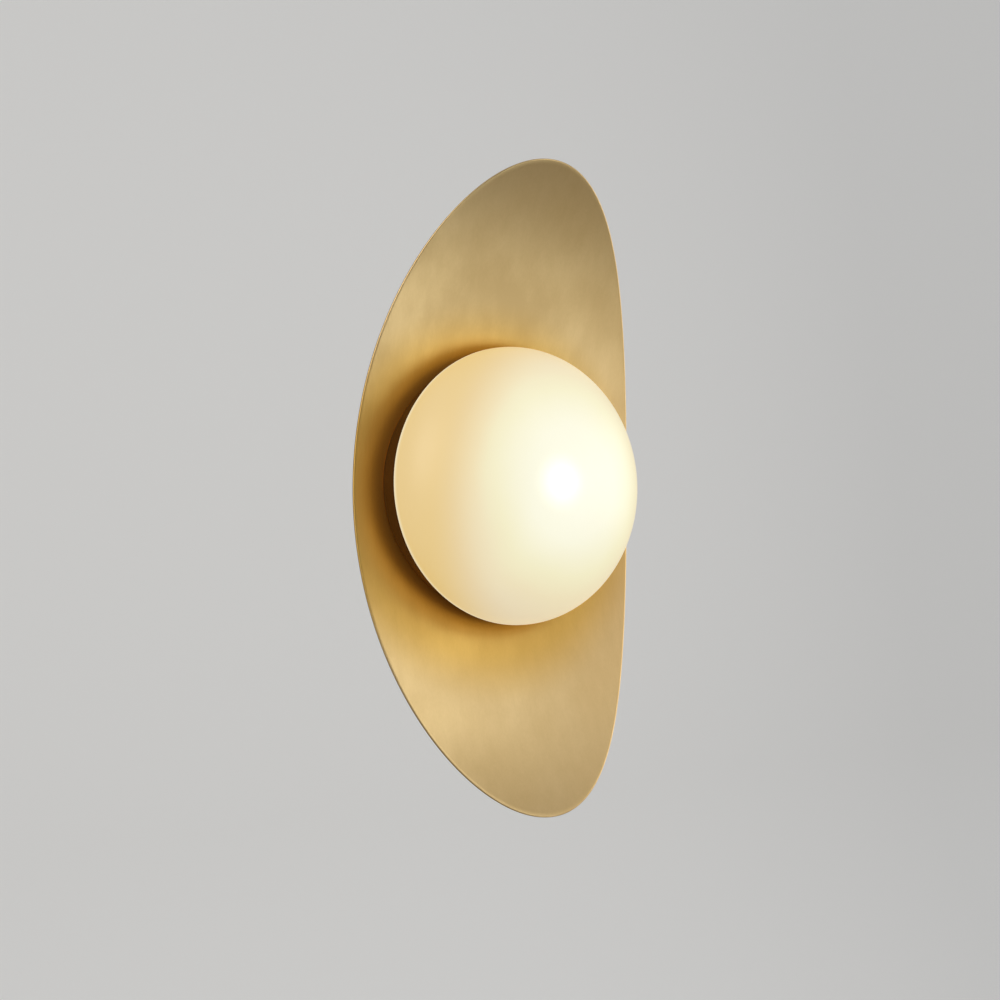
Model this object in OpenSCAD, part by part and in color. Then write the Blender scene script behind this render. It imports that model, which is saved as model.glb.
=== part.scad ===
// Wall sconce: a tall oval brass plate, bent about a level axis, with a flattened opal
// glass dome on a short drum in its middle. A round canopy behind the plate holds the
// wiring and hangs on a steel bracket that is screwed to the wall.
// Sizes are in millimetres. The origin is the middle of the wall face, +Z is up and the
// lamp looks along -Y. Every piece is drawn lying on its back, so that its z is the
// distance from the wall and its y is the height, and on_wall() tips it upright.

/* [Reflector plate] */
// Width of the plate across its middle
plate_w = 177; // [160:1:220]
// Height of the plate from tip to tip, seen from the front
plate_h = 338; // [300:1:400]
// Radius that the front of the plate is bent to
bend_r = 292; // [240:1:500]
// Thickness of the plate's sheet
plate_t = 1.6; // [1:0.1:2.5]

/* [Glass dome] */
// Width of the dome across its rim
dome_d = 150; // [142:1:160]
// Height of the dome from its rim to its top
dome_h = 39.3; // [38:0.1:60]
// Distance of the dome's rim in front of the plate's middle
dome_out = 18.7; // [17:0.1:24]
// Thickness of the glass
glass_t = 3; // [2:0.1:4]
// Radius that the outer edge of the rim is rounded to
rim_round = 1; // [0.4:0.1:1.8]
// Gap between the glass neck and the wall of the drum around it
neck_gap = 1.9; // [1.5:0.1:4]
// Gap between the end of the neck and the drum's floor
neck_clear = 1.1; // [0.5:0.1:3]

/* [Lamp drum] */
// How far the glass stands out past the drum all round
drum_inset = 3.4; // [2:0.1:6]
// Thickness of the drum's sheet
drum_t = 1.2; // [0.8:0.1:1.6]
// Thickness of the soft ring between the drum and the glass
cushion_t = 0.8; // [0.5:0.1:1.5]
// Width of the round well through the middle, where the lampholder sits
well_d = 33; // [31:0.5:36]
// Width of the two turned spacers that follow the plate's curve
spacer_d = 60; // [58:1:66]
// Thickness of the rear spacer at its thinnest line
spacer_t = 2; // [1.5:0.1:4]

/* [Canopy] */
// Width of the canopy behind the plate
canopy_d = 110; // [106:1:120]
// Depth of the canopy from the wall
canopy_depth = 22; // [21:0.5:32]
// Thickness of the canopy's sheet
canopy_t = 1.2; // [0.8:0.1:1.6]
// Distance of the two side screws from the wall
side_screw_out = 10; // [8.5:0.5:12]
// Width of the knurled head of a side screw
knob_d = 10; // [8:0.5:12]
// Length of the knurled head of a side screw
knob_len = 6; // [4:0.5:8]

/* [Wall bracket] */
// Height of the bracket's bar
bracket_w = 26; // [24:1:27]
// Thickness of the bracket's steel
bracket_t = 2.5; // [2:0.1:3]
// Height of the two ears that are bent up at the bracket's ends
ear_w = 16; // [12:1:18]
// Length of the ears from the wall
ear_len = 16; // [14.5:0.5:17]
// Distance between the middles of the two wall screw slots
slot_spacing = 60; // [50:1:64]
// Width of a wall screw slot
slot_w = 5; // [4.5:0.1:6]
// Length of a wall screw slot from end to end
slot_len = 18; // [12:0.5:20]
// Width of the hole for the supply cable
cable_hole_d = 18; // [12:0.5:20]

/* [Lampholder] */
// Length of the lampholder's body across the two pins
holder_w = 20; // [18:0.5:21]
// Thickness of the lampholder's body
holder_t = 14; // [12:0.5:14]
// Depth of the lampholder's body
holder_len = 20; // [18:0.5:21]
// How far the lampholder's face lies behind the front of the drum's floor
holder_sink = 0.8; // [0:0.1:2]
// Distance between the two pins of the bulb
pin_pitch = 9; // [8.5:0.5:9.5]
// Width of one looped pin
pin_w = 2.8; // [2:0.1:3]
// Thickness of one looped pin
pin_t = 0.9; // [0.7:0.1:1.1]
// Length of the pins behind the bulb's base
pin_len = 6.5; // [5.5:0.1:6.8]
// Thickness of the strap that carries the lampholder
strap_t = 1.2; // [1:0.1:1.5]
// Height of the strap
strap_w = 14; // [12:0.5:14]
// Distance from the middle to the screws in the strap's wings
strap_screw_r = 38; // [36:0.5:42]

/* [Bulb] */
// Width of the bulb
bulb_d = 15; // [13:0.5:17]
// Length of the bulb's base
bulb_base_len = 7.5; // [6:0.5:9]
// Length of the bulb's clear cover
bulb_cover_len = 28; // [24:0.5:28]
// Thickness of the bulb's cover
bulb_cover_t = 0.8; // [0.6:0.1:1.2]

/* [Dome springs] */
// Number of leaf springs that grip the glass neck
spring_count = 3; // [2:1:4]
// Width of a leaf spring
spring_w = 8; // [6:0.5:10]
// Thickness of a leaf spring
spring_t = 0.6; // [0.4:0.1:0.8]
// Distance from a spring's screw to the foot of its leg
spring_foot = 9.2; // [8:0.1:12]
// Height of a leaf spring above the drum's floor
spring_h = 12; // [9:0.5:14]

/* [Fasteners and wiring] */
// Distance from the middle to the four clamp screws
clamp_r = 23.5; // [23:0.1:24.5]
// Width of a terminal block pole
pole_w = 10; // [9:0.5:10]
// Height of the terminal block
block_h = 16; // [14:0.5:16]
// Depth of the terminal block
block_depth = 12; // [11:0.5:13]
// Diameter of the inner wires over their insulation
wire_d = 2.4; // [1.8:0.1:2.6]

/* [Hidden] */
$fn = 96;

// Clearances between pieces
seat = 0.1;          // curved faces that are clamped on each other
thread_gap = 0.05;   // a thread in its nut, or a side screw in its ear
hole_gap = 0.15;     // a screw in its clearance hole
wire_gap = 0.6;      // a wire in the hole of the lampholder
floor_gap = 0.4;     // the drum's floor and the plate behind it
body_gap = 0.3;      // pieces that come apart by hand
cut = 1;             // how far a cutting shape reaches past what it cuts

// Widths that follow from the glass
drum_d = dome_d - 2 * drum_inset;
drum_in_r = drum_d / 2 - drum_t;
neck_d = 2 * (drum_in_r - neck_gap);
neck_in_r = neck_d / 2 - glass_t;

// Distances from the wall
web_out = canopy_depth - canopy_t;
plate_back = canopy_depth + spacer_t;
plate_out = plate_back + plate_t;
floor_back = plate_out + bow(drum_in_r) + floor_gap;
floor_out = floor_back + drum_t;
rim_out = plate_out + dome_out;
neck_len = rim_out - floor_out - neck_clear;
drum_out = rim_out - body_gap - cushion_t;
holder_out = floor_out - holder_sink;
holder_back = holder_out - holder_len;
strap_back = holder_back - strap_t;
bulb_back = holder_out + body_gap;
cover_back = bulb_back + bulb_base_len;

// Standard screws, nuts and washers: thread, head and nut
m4_d = 4;
m4_head_d = 7;
m4_head_h = 2.6;
m4_nut_w = 7;
m4_nut_h = 3.2;
m3_d = 3;
m3_head_d = 5.5;
m3_head_h = 2;
m3_nut_w = 5.5;
m3_nut_h = 2.4;
m25_d = 2.5;
m25_head_d = 4.4;
m25_head_h = 1.7;
m25_nut_w = 5;
m25_nut_h = 2;
washer_d = 8;
washer_t = 0.8;
thread_past_nut = 0.8;
short_past_nut = 0.4;

// Bracket and its ears
canopy_in_r = canopy_d / 2 - canopy_t;
ear_out = sqrt(pow(canopy_in_r - body_gap, 2) - pow(ear_w / 2, 2)) - body_gap;
ear_in = ear_out - bracket_t;
knob_start = canopy_d / 2 + body_gap;
knob_grooves = 18;
knob_groove_d = 0.8;
knob_collar = 1;
knob_end = 2;
thread_past_ear = 1.5;
corner_cut = 6;
notch_w = m4_d + 2 * body_gap;

// Lampholder and strap
strap_leg_x = holder_w / 2 + 2;
strap_wing_x = strap_screw_r + 5;
holder_nose_d = holder_w - 2;
holder_nose = 1;
holder_thread = 6;
contact_t = 0.4;
contact_gap = 0.3;
contact_floor = 2;
contact_leaf_y = pin_t / 2 + contact_gap;
contact_out_y = contact_leaf_y + contact_t;
contact_back = holder_back + contact_floor;
pin_slot_w = pin_w + 1.4;
pin_slot_t = 2 * contact_out_y + 0.9;
holder_wire_out = contact_back + 1.5;

// Bulb
bulb_round = bulb_d / 2;
bulb_foot = 2;
led_w = 6;
led_t = 1.6;
led_len = bulb_cover_len - bulb_round - 2;
led_rows = 4;
chip_w = 3.6;
chip_out = 0.6;

// Springs
spring_lean = 3;
spring_heel = 4;
spring_tip_r = neck_in_r - body_gap;
spring_root_r = spring_tip_r - spring_lean;
spring_screw_r = spring_root_r - spring_foot;
spring_heel_r = spring_screw_r - spring_heel;
spring_angles = [for (i = [0 : spring_count - 1]) 90 + i * 360 / spring_count];

// Terminal block and earth point, on the inside of the canopy's front
wiring_inset = 15.8;
wiring_y = wiring_inset - canopy_in_r;
block_x = -4;
block_y = wiring_y;
pole_x = [for (i = [-1 : 1]) block_x + i * pole_w];
pole_z = web_out - block_depth / 2;
pole_gap = 2;
tube_d = 4.6;
tube_bore_d = 2.8;
tube_short = 1;
block_len = 3 * pole_w;
block_floor = 3;
block_screw_x = block_x + pole_w / 2;
block_screw_h = block_depth / 2 - 2.6;
earth_x = 27;
earth_y = wiring_y;
lug_d = 8;
lug_t = 0.8;
lug_neck_w = 3;
barrel_d = 3.6;
barrel_len = 6;
barrel_start = earth_y + 5.5;
barrel_z = web_out - barrel_d / 2;
wire_sides = 8;
wire_steps = 20;

// How far the bent plate has come forward at a given height
function bow(h) = bend_r - sqrt(bend_r * bend_r - h * h);

// Places of the clamp screws, on a circle about the middle
function clamp_at(i) = [clamp_r * cos(45 + 90 * i), clamp_r * sin(45 + 90 * i), 0];

// Point and direction on a smooth curve between two ends with two handles
function on_curve(p, t) = pow(1 - t, 3) * p[0] + 3 * t * pow(1 - t, 2) * p[1]
  + 3 * t * t * (1 - t) * p[2] + pow(t, 3) * p[3];
function along_curve(p, t) = let (
    d = pow(1 - t, 2) * (p[1] - p[0]) + 2 * t * (1 - t) * (p[2] - p[1]) + t * t * (p[3] - p[2])
  ) d / norm(d);

// Tips a piece drawn on its back upright, so that its z points away from the wall
module on_wall() {
  rotate([90, 0, 0]) children();
}

// A round bar about the bend axis of the plate, which lies level in front of it
module bend_bar(r) {
  translate([0, 0, plate_out + bend_r])
    rotate([0, 90, 0]) cylinder(r = r, h = 2 * plate_h, center = true, $fn = 360);
}

// A disc or ring on the lamp's axis
module ring(outer, inner, from, to) {
  translate([0, 0, from]) difference() {
    cylinder(d = outer, h = to - from);
    if (inner > 0) translate([0, 0, -cut]) cylinder(d = inner, h = to - from + 2 * cut);
  }
}

// A straight round hole or pin along the lamp's axis
module along_axis(at, d, from, to) {
  translate([at[0], at[1], from]) cylinder(d = d, h = to - from, $fn = 48);
}

// A pan-head screw that points back towards the wall, with a cross cut in its head
module screw(d, head_d, head_h, head_from, tip) {
  cross_w = head_d * 0.6;
  cross_t = head_d * 0.14;
  skirt = head_h * 0.6;
  crown_d = head_d * 0.7;
  difference() {
    union() {
      translate([0, 0, tip]) cylinder(d = d, h = head_from - tip, $fn = 48);
      translate([0, 0, head_from]) cylinder(d = head_d, h = skirt, $fn = 48);
      translate([0, 0, head_from + skirt])
        cylinder(d1 = head_d, d2 = crown_d, h = head_h - skirt, $fn = 48);
    }
    translate([0, 0, head_from + head_h]) {
      cube([cross_w, cross_t, head_h], center = true);
      cube([cross_t, cross_w, head_h], center = true);
    }
  }
}

// A hexagon nut with its bore
module nut(d, across, from, to) {
  translate([0, 0, from]) difference() {
    cylinder(d = across / cos(30), h = to - from, $fn = 6);
    translate([0, 0, -cut])
      cylinder(d = d + 2 * thread_gap, h = to - from + 2 * cut, $fn = 48);
  }
}

// Steel bar on the wall with two slots, the cable hole and two ears with threads
module wall_bracket() {
  color("lightgray") on_wall() difference() {
    union() {
      translate([-ear_out, -bracket_w / 2, 0]) cube([2 * ear_out, bracket_w, bracket_t]);
      for (side = [-1, 1])
        translate([side * (ear_out - bracket_t / 2), 0, ear_len / 2])
          cube([bracket_t, ear_w, ear_len], center = true);
    }
    for (side = [-1, 1], end = [-1, 1])
      translate([side * ear_out, end * bracket_w / 2, 0])
        rotate([0, 0, 45]) cube([corner_cut, corner_cut, 2 * ear_len], center = true);
    for (side = [-1, 1])
      translate([side * slot_spacing / 2, 0, -cut]) wall_slot();
    translate([0, 0, -cut]) cylinder(d = cable_hole_d, h = bracket_t + 2 * cut);
    translate([0, 0, side_screw_out]) rotate([0, 90, 0])
      cylinder(d = m4_d + 2 * thread_gap, h = 2 * ear_out + 2 * cut, center = true, $fn = 48);
  }
}

// One slot for a wall screw, level, with round ends
module wall_slot() {
  depth = bracket_t + 2 * cut;
  for (side = [-1, 1])
    translate([side * (slot_len - slot_w) / 2, 0, 0]) cylinder(d = slot_w, h = depth, $fn = 48);
  translate([-(slot_len - slot_w) / 2, -slot_w / 2, 0]) cube([slot_len - slot_w, slot_w, depth]);
}

// Lays a side screw's piece along its own axis, with z as the distance from the middle
module on_side(side) {
  on_wall() translate([0, 0, side_screw_out]) rotate([0, side * 90, 0]) children();
}

// Steel stud that is screwed into an ear and passes through a notch of the canopy
module side_stud(side) {
  from = ear_in - thread_past_ear;
  color("silver") on_side(side)
    translate([0, 0, from]) cylinder(d = m4_d, h = knob_start + knob_len - knob_end - from, $fn = 48);
}

module side_stud_left() {
  side_stud(-1);
}

module side_stud_right() {
  side_stud(1);
}

// Knurled brass head, fixed on its stud, that is turned by hand and clamps the canopy
module side_knob(side) {
  color("goldenrod") on_side(side) translate([0, 0, knob_start]) difference() {
    cylinder(d = knob_d, h = knob_len);
    translate([0, 0, -cut])
      cylinder(d = m4_d + 2 * thread_gap, h = knob_len - knob_end + cut, $fn = 48);
    for (i = [0 : knob_grooves - 1])
      rotate([0, 0, i * 360 / knob_grooves]) translate([knob_d / 2, 0, knob_collar])
        cylinder(d = knob_groove_d, h = knob_len, $fn = 16);
  }
}

module side_knob_left() {
  side_knob(-1);
}

module side_knob_right() {
  side_knob(1);
}

// Pressed cup on the wall, with an open notch on each side that drops over a side screw
module canopy() {
  reach = canopy_d + 2 * cut;
  color("tan") on_wall() difference() {
    cylinder(d = canopy_d, h = canopy_depth);
    translate([0, 0, -cut]) cylinder(r = canopy_in_r, h = web_out + cut);
    along_axis([0, 0], well_d, web_out - cut, canopy_depth + cut);
    translate([0, 0, side_screw_out]) rotate([0, 90, 0])
      cylinder(d = notch_w, h = reach, center = true, $fn = 48);
    translate([-reach / 2, -notch_w / 2, -cut]) cube([reach, notch_w, side_screw_out + cut]);
    clamp_holes();
    along_axis([block_screw_x, block_y], m25_d + 2 * hole_gap, web_out - cut, canopy_depth + cut);
    along_axis([earth_x, earth_y], m4_d + 2 * hole_gap, web_out - cut, canopy_depth + cut);
  }
}

// The four holes that the clamp screws pass through
module clamp_holes() {
  for (i = [0 : 3])
    along_axis(clamp_at(i), m4_d + 2 * hole_gap, web_out - cut, floor_out + cut);
}

// Turned ring between the canopy and the back of the plate, cut to the plate's curve
module rear_spacer() {
  color("darkgoldenrod") on_wall() difference() {
    ring(spacer_d, well_d, canopy_depth, plate_out + bow(spacer_d / 2));
    bend_bar(bend_r + plate_t + seat);
    clamp_holes();
  }
}

// Oval sheet of brushed brass, bent so that its top and bottom come forward
module reflector_plate() {
  front = plate_out + bow(plate_h / 2) + plate_t;
  color("peru") on_wall() difference() {
    intersection() {
      translate([0, 0, plate_back - cut]) linear_extrude(height = front - plate_back + cut)
        scale([plate_w / plate_h, 1]) circle(d = plate_h, $fn = 360);
      bend_bar(bend_r + plate_t);
    }
    bend_bar(bend_r);
    translate([0, 0, plate_back - cut]) cylinder(d = well_d, h = plate_t + 2 * cut);
    clamp_holes();
  }
}

// Turned ring between the front of the plate and the floor of the drum
module front_spacer() {
  color("darkgoldenrod") on_wall() difference() {
    intersection() {
      ring(spacer_d, well_d, plate_back, floor_back);
      bend_bar(bend_r - seat);
    }
    clamp_holes();
  }
}

// Rolled brass ring whose back edge follows the plate
module lamp_drum() {
  color("saddlebrown") on_wall() intersection() {
    ring(drum_d, 2 * drum_in_r, plate_back, drum_out);
    bend_bar(bend_r - seat);
  }
}

// Flat brass disc, soldered inside the ring, that carries the lampholder and the springs
module drum_floor() {
  color("peru") on_wall() difference() {
    ring(2 * (drum_in_r - seat), well_d, floor_back, floor_out);
    clamp_holes();
    for (side = [-1, 1])
      along_axis([side * strap_screw_r, 0], m3_d + 2 * hole_gap, floor_back - cut, floor_out + cut);
    for (a = spring_angles)
      along_axis([spring_screw_r * cos(a), spring_screw_r * sin(a)],
        m3_d + 2 * hole_gap, floor_back - cut, floor_out + cut);
  }
}

// Soft dark ring on the drum's edge, which keeps the glass off the brass
module rim_cushion() {
  color("black") on_wall() ring(drum_d - drum_t, drum_d - 3 * drum_t, drum_out, drum_out + cushion_t);
}

// Four screws that clamp the drum, both spacers, the plate and the canopy together
module clamp_screws() {
  color("silver") on_wall() for (i = [0 : 3])
    translate(clamp_at(i))
      screw(m4_d, m4_head_d, m4_head_h, floor_out, web_out - washer_t - m4_nut_h - thread_past_nut);
}

module clamp_washers() {
  color("gray") on_wall() for (i = [0 : 3])
    translate(clamp_at(i)) ring(washer_d, m4_d + 2 * hole_gap, web_out - washer_t, web_out);
}

module clamp_nuts() {
  color("silver") on_wall() for (i = [0 : 3])
    translate(clamp_at(i)) nut(m4_d, m4_nut_w, web_out - washer_t - m4_nut_h, web_out - washer_t);
}

// Hat-shaped steel strap that hangs the lampholder in the well from the drum's floor
module holder_strap() {
  color("lightsteelblue") on_wall() difference() {
    union() {
      translate([-strap_leg_x - strap_t, -strap_w / 2, strap_back])
        cube([2 * (strap_leg_x + strap_t), strap_w, strap_t]);
      for (side = [-1, 1]) {
        translate([side * (strap_leg_x + strap_t / 2), 0, (strap_back + floor_out + strap_t) / 2])
          cube([strap_t, strap_w, floor_out + strap_t - strap_back], center = true);
        translate([side * (strap_leg_x + strap_wing_x) / 2, 0, floor_out + strap_t / 2])
          cube([strap_wing_x - strap_leg_x, strap_w, strap_t], center = true);
      }
    }
    along_axis([0, 0], m3_d + 2 * hole_gap, strap_back - cut, holder_back + cut);
    for (side = [-1, 1])
      along_axis([side * strap_screw_r, 0], m3_d + 2 * hole_gap, floor_out - cut, floor_out + 2 * strap_t);
  }
}

module strap_screws() {
  color("silver") on_wall() for (side = [-1, 1])
    translate([side * strap_screw_r, 0, 0])
      screw(m3_d, m3_head_d, m3_head_h, floor_out + strap_t, floor_back - m3_nut_h - thread_past_nut);
}

module strap_nuts() {
  color("silver") on_wall() for (side = [-1, 1])
    translate([side * strap_screw_r, 0, 0]) nut(m3_d, m3_nut_w, floor_back - m3_nut_h, floor_back);
}

// Ceramic lampholder for a two-pin capsule bulb
module lampholder() {
  color("ivory") on_wall() difference() {
    union() {
      translate([0, 0, holder_back]) linear_extrude(height = holder_len - holder_nose)
        square([holder_w, holder_t], center = true);
      translate([0, 0, holder_out - holder_nose]) linear_extrude(height = holder_nose)
        intersection() {
          square([holder_w, holder_t], center = true);
          circle(d = holder_nose_d);
        }
    }
    for (side = [-1, 1]) {
      translate([side * pin_pitch / 2 - pin_slot_w / 2, -pin_slot_t / 2, contact_back])
        cube([pin_slot_w, pin_slot_t, holder_len]);
      translate([side * pin_pitch / 2, -contact_leaf_y, holder_wire_out])
        rotate([90, 0, 0]) cylinder(d = wire_d + 2 * wire_gap, h = holder_t, $fn = 32);
    }
    along_axis([0, 0], m3_d + 2 * thread_gap, holder_back - cut, holder_back + holder_thread);
  }
}

// Two folded contact springs in the lampholder's slots, one for each pin
module holder_contacts() {
  leaf_h = holder_out - contact_back - contact_floor;
  color("gold") on_wall() for (side = [-1, 1])
    translate([side * pin_pitch / 2, 0, contact_back]) {
      translate([0, 0, contact_t / 2]) cube([pin_w, 2 * contact_out_y, contact_t], center = true);
      for (flip = [-1, 1])
        translate([0, flip * (contact_leaf_y + contact_t / 2), leaf_h / 2])
          cube([pin_w, contact_t, leaf_h], center = true);
    }
}

// Screw from behind the strap into the foot of the lampholder
module holder_screw() {
  color("silver") on_wall() translate([0, 0, strap_back]) mirror([0, 0, 1])
    screw(m3_d, m3_head_d, m3_head_h, 0, cut - strap_t - holder_thread);
}

// White base of the bulb, which stops on the lampholder's face
module bulb_base() {
  color("whitesmoke") on_wall() {
    translate([0, 0, bulb_back]) cylinder(d = bulb_d - bulb_foot, h = bulb_foot);
    translate([0, 0, bulb_back + bulb_foot]) cylinder(d = bulb_d, h = bulb_base_len - bulb_foot);
  }
}

// The two looped wire pins of the bulb
module bulb_pins() {
  color("silver") on_wall() for (side = [-1, 1])
    translate([side * pin_pitch / 2, pin_t / 2, bulb_back]) rotate([90, 0, 0])
      linear_extrude(height = pin_t) difference() {
        pin_outline(pin_w, pin_len);
        pin_outline(pin_w - 2 * pin_t, pin_len - pin_t);
      }
}

// Outline of a pin: a straight strip with a round end, pointing down
module pin_outline(w, length) {
  translate([-w / 2, -length + w / 2]) square([w, length - w / 2]);
  translate([0, -length + w / 2]) circle(d = w, $fn = 32);
}

// Board with rows of light-emitting chips, standing in the bulb
module bulb_led_core() {
  color("yellow") on_wall() translate([0, 0, cover_back]) {
    translate([0, 0, led_len / 2]) cube([led_w, led_t, led_len], center = true);
    for (i = [0 : led_rows - 1])
      translate([0, 0, led_len * (i + 0.5) / led_rows])
        cube([chip_w, led_t + 2 * chip_out, led_len / led_rows / 2], center = true);
  }
}

// Clear cover of the bulb, a tube with a round end
module bulb_cover() {
  color("lightyellow") on_wall() translate([0, 0, cover_back]) rotate_extrude() difference() {
    cover_outline(bulb_round, bulb_cover_len);
    cover_outline(bulb_round - bulb_cover_t, bulb_cover_len - bulb_cover_t);
  }
}

module cover_outline(r, length) {
  intersection() {
    union() {
      square([r, length - r]);
      translate([0, length - r]) circle(r = r);
    }
    square([r, length]);
  }
}

// Blown opal glass: half a flattened ball whose rim turns in to a short neck
module glass_dome() {
  steps = 40;
  r = dome_d / 2;
  inner_r = r - glass_t;
  inner_h = dome_h - glass_t;
  low = asin(glass_t / inner_h);
  outer_start = asin(rim_round / dome_h);
  outer = [for (i = [0 : steps]) let (a = outer_start + (90 - outer_start) * i / steps)
    [r * cos(a), dome_h * sin(a)]];
  edge = [for (i = [0 : 5]) let (a = -90 + 15 * i)
    [r * cos(outer_start) - rim_round * (1 - cos(a)), rim_round * (1 + sin(a))]];
  inner = [for (i = [steps : -1 : 0]) let (a = low + (90 - low) * i / steps)
    [inner_r * cos(a), inner_h * sin(a)]];
  neck = [[neck_in_r, glass_t], [neck_in_r, -neck_len], [neck_d / 2, -neck_len], [neck_d / 2, 0]];
  color("khaki") on_wall() translate([0, 0, rim_out]) rotate_extrude($fn = 180)
    polygon(concat(edge, outer, inner, neck));
}

// Leaf springs that stand on the drum's floor and press outwards on the glass neck
module dome_springs() {
  color("slategray") on_wall() for (a = spring_angles)
    rotate([0, 0, a]) translate([0, spring_w / 2, floor_out]) rotate([90, 0, 0])
      difference() {
        linear_extrude(height = spring_w) spring_outline();
        translate([spring_screw_r, -cut, spring_w / 2]) rotate([-90, 0, 0])
          cylinder(d = m3_d + 2 * hole_gap, h = spring_t + 2 * cut, $fn = 32);
      }
}

// Side view of a spring: a foot, a leg that leans out to the glass and a lead-in
module spring_outline() {
  t = spring_t;
  belly = (rim_out + neck_clear - floor_out) / 2;
  polygon([
    [spring_heel_r, 0], [spring_root_r + t, 0], [spring_tip_r, belly],
    [spring_root_r, spring_h], [spring_root_r - t, spring_h - t / 2],
    [spring_tip_r - 1.2 * t, belly], [spring_root_r, t], [spring_heel_r, t]
  ]);
}

module spring_screws() {
  color("silver") on_wall() for (a = spring_angles)
    translate([spring_screw_r * cos(a), spring_screw_r * sin(a), 0])
      screw(m3_d, m3_head_d, m3_head_h, floor_out + spring_t, floor_back - m3_nut_h - short_past_nut);
}

module spring_nuts() {
  color("silver") on_wall() for (a = spring_angles)
    translate([spring_screw_r * cos(a), spring_screw_r * sin(a), 0])
      nut(m3_d, m3_nut_w, floor_back - m3_nut_h, floor_back);
}

// Insulating body of the terminal block, with three poles and a fixing hole
module terminal_block() {
  color("white") on_wall() difference() {
    union() {
      translate([block_x - block_len / 2, block_y - block_h / 2, web_out - block_floor])
        cube([block_len, block_h, block_floor]);
      for (x = pole_x)
        translate([x - (pole_w - pole_gap) / 2, block_y - block_h / 2, web_out - block_depth])
          cube([pole_w - pole_gap, block_h, block_depth - block_floor]);
    }
    for (x = pole_x) {
      translate([x, block_y, pole_z]) rotate([90, 0, 0])
        cylinder(d = tube_d + 2 * seat, h = block_h + 2 * cut, center = true, $fn = 48);
      for (end = [-1, 1])
        along_axis([x, block_y + end * block_h / 4], m3_d + 2 * body_gap,
          web_out - block_depth - cut, pole_z);
    }
    along_axis([block_screw_x, block_y], m25_d + 2 * hole_gap, web_out - block_depth, web_out + cut);
    along_axis([block_screw_x, block_y], m25_head_d + 2 * hole_gap,
      web_out - block_depth - cut, web_out - block_floor);
  }
}

// Brass tubes in the poles, open at both ends for the wires
module terminal_tubes() {
  color("gold") on_wall() for (x = pole_x)
    translate([x, block_y, pole_z]) rotate([90, 0, 0]) difference() {
      cylinder(d = tube_d, h = block_h - 2 * tube_short, center = true, $fn = 48);
      cylinder(d = tube_bore_d, h = block_h, center = true, $fn = 48);
      for (end = [-1, 1])
        translate([0, 0, end * block_h / 4]) rotate([90, 0, 0])
          cylinder(d = m3_d + 2 * thread_gap, h = tube_d, $fn = 32);
    }
}

// Clamping screws of the poles, slotted and reached from the wall side
module terminal_screws() {
  color("silver") on_wall() for (x = pole_x, end = [-1, 1])
    translate([x, block_y + end * block_h / 4, web_out - block_depth + tube_short])
      difference() {
        cylinder(d = m3_d, h = block_screw_h, $fn = 32);
        cube([m3_d + cut, m3_d / 4, m3_d / 2], center = true);
      }
}

// Screw through the middle of the terminal block into its nut before the canopy
module block_screw() {
  color("silver") on_wall() translate([block_screw_x, block_y, web_out - block_floor])
    mirror([0, 0, 1]) screw(m25_d, m25_head_d, m25_head_h, 0,
      -block_floor - canopy_t - m25_nut_h - short_past_nut);
}

module block_nut() {
  color("silver") on_wall() translate([block_screw_x, block_y, 0])
    nut(m25_d, m25_nut_w, canopy_depth, canopy_depth + m25_nut_h);
}

// Ring terminal on the canopy, with a barrel that is crimped on the earth wire
module earth_lug() {
  color("gold") on_wall() {
    difference() {
      union() {
        along_axis([earth_x, earth_y], lug_d, web_out - lug_t, web_out);
        translate([earth_x - lug_neck_w / 2, earth_y, web_out - lug_t])
          cube([lug_neck_w, barrel_start - earth_y + cut, lug_t]);
      }
      along_axis([earth_x, earth_y], m4_d + 2 * hole_gap, web_out - lug_t - cut, web_out + cut);
    }
    translate([earth_x, barrel_start, barrel_z]) rotate([-90, 0, 0])
      cylinder(d = barrel_d, h = barrel_len, $fn = 48);
  }
}

// Earth stud: a screw from the front of the canopy, with its washer and nut inside
module earth_screw() {
  color("silver") on_wall() translate([earth_x, earth_y, 0])
    screw(m4_d, m4_head_d, m4_head_h, canopy_depth,
      web_out - lug_t - washer_t - m4_nut_h - thread_past_nut);
}

module earth_washer() {
  color("gray") on_wall() translate([earth_x, earth_y, 0])
    ring(washer_d, m4_d + 2 * hole_gap, web_out - lug_t - washer_t, web_out - lug_t);
}

module earth_nut() {
  from = web_out - lug_t - washer_t - m4_nut_h;
  color("silver") on_wall() translate([earth_x, earth_y, 0])
    nut(m4_d, m4_nut_w, from, from + m4_nut_h);
}

// A wire along a smooth curve, as rings of points joined by faces
module wire(p) {
  rings = [for (i = [0 : wire_steps]) let (
      t = i / wire_steps,
      c = on_curve(p, t),
      d = along_curve(p, t),
      u = cross(d, [0, 0, 1]) / norm(cross(d, [0, 0, 1])),
      v = cross(d, u)
    )
    for (k = [0 : wire_sides - 1])
      c + wire_d / 2 * (cos(k * 360 / wire_sides) * u + sin(k * 360 / wire_sides) * v)];
  sides = [for (i = [0 : wire_steps - 1], k = [0 : wire_sides - 1]) let (
      a = i * wire_sides + k,
      b = i * wire_sides + (k + 1) % wire_sides
    ) [a, b, b + wire_sides, a + wire_sides]];
  start = [for (k = [wire_sides - 1 : -1 : 0]) k];
  end = [for (k = [0 : wire_sides - 1]) wire_steps * wire_sides + k];
  on_wall() polyhedron(points = rings, faces = concat([start], sides, [end]));
}

// Where a wire leaves the lampholder, and where it enters the terminal block
function holder_end(side) = [side * pin_pitch / 2, -contact_out_y, holder_wire_out];
function block_end(i) = [pole_x[i], block_y + block_h / 2 - tube_short, pole_z];

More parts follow.
